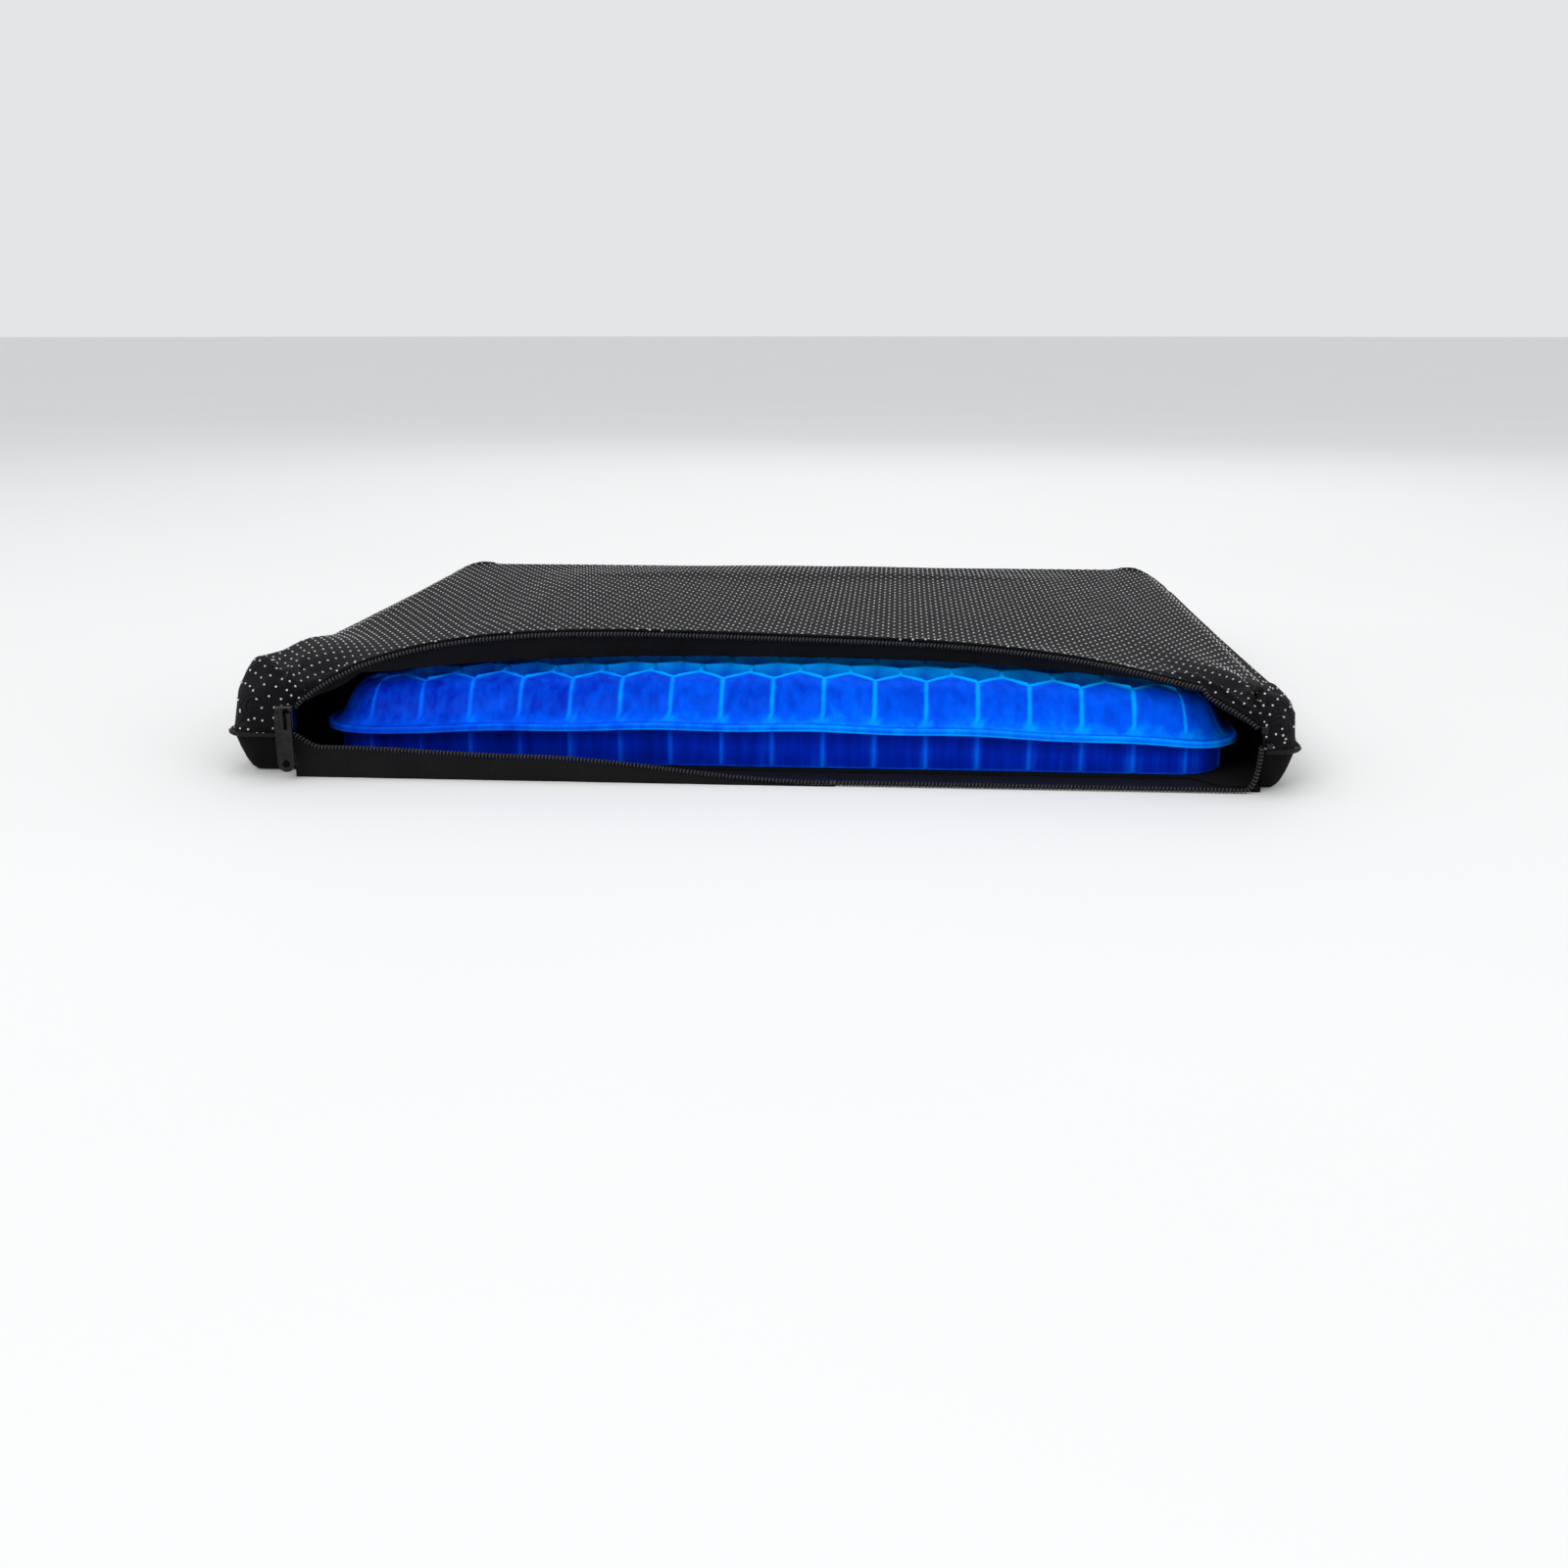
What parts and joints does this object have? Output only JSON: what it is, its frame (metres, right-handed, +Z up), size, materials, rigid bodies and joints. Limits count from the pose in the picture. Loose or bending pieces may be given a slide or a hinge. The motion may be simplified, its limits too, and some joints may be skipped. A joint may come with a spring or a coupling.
{
  "type": "gel seat cushion",
  "caption": "Flat honeycomb gel seat cushion in a zipped fabric cover, with the front zip open and the gel pad able to slide out.",
  "frame": {"origin": "on the surface the cushion lies on, under the middle of its outline", "axes": "+X to the right as seen from the open mouth, the mouth faces -Y, +Z up through the thickness"},
  "size_m": [0.4384, 0.3729, 0.0549],
  "materials": {
    "gel": "clear blue elastic gel, glossy, slightly translucent",
    "dotted_knit": "charcoal fine knit with raised pale anti-slip dots",
    "plain_knit": "plain black knit",
    "thread": "black sewing thread",
    "zip_tape": "black woven zip tape",
    "zip_coil": "black nylon coil",
    "zip_metal": "black enamelled zip metal"
  },
  "bodies": {
    "cover": {"cover_top_panel": "dotted_knit", "cover_bottom_panel": "plain_knit", "side_seam": "thread", "zip_tape_upper": "zip_tape", "zip_tape_lower": "zip_tape", "zip_coil_upper": "zip_coil", "zip_coil_lower": "zip_coil", "zip_bottom_stop": "zip_metal", "zip_stop_upper": "zip_metal", "zip_stop_lower": "zip_metal"},
    "gel": {"gel_insert": "gel"},
    "slider": {"zip_slider_body": "zip_metal"},
    "tab": {"zip_pull_tab": "zip_metal"}
  },
  "joints": [
    {"name": "gel_slide", "type": "slide", "parent": "cover", "child": "gel", "axis": [0, -1, 0], "range_m": [0, 0.36]},
    {"name": "zip_travel", "type": "slide", "parent": "cover", "child": "slider", "axis": [1, 0, 0], "range_m": [0, 0.385]},
    {"name": "tab_swing", "type": "hinge", "parent": "slider", "child": "tab", "pos_m": [-0.1895, -0.18436, 0.0275], "axis": [-1, 0, 0], "range_deg": [0, 160]}
  ]
}
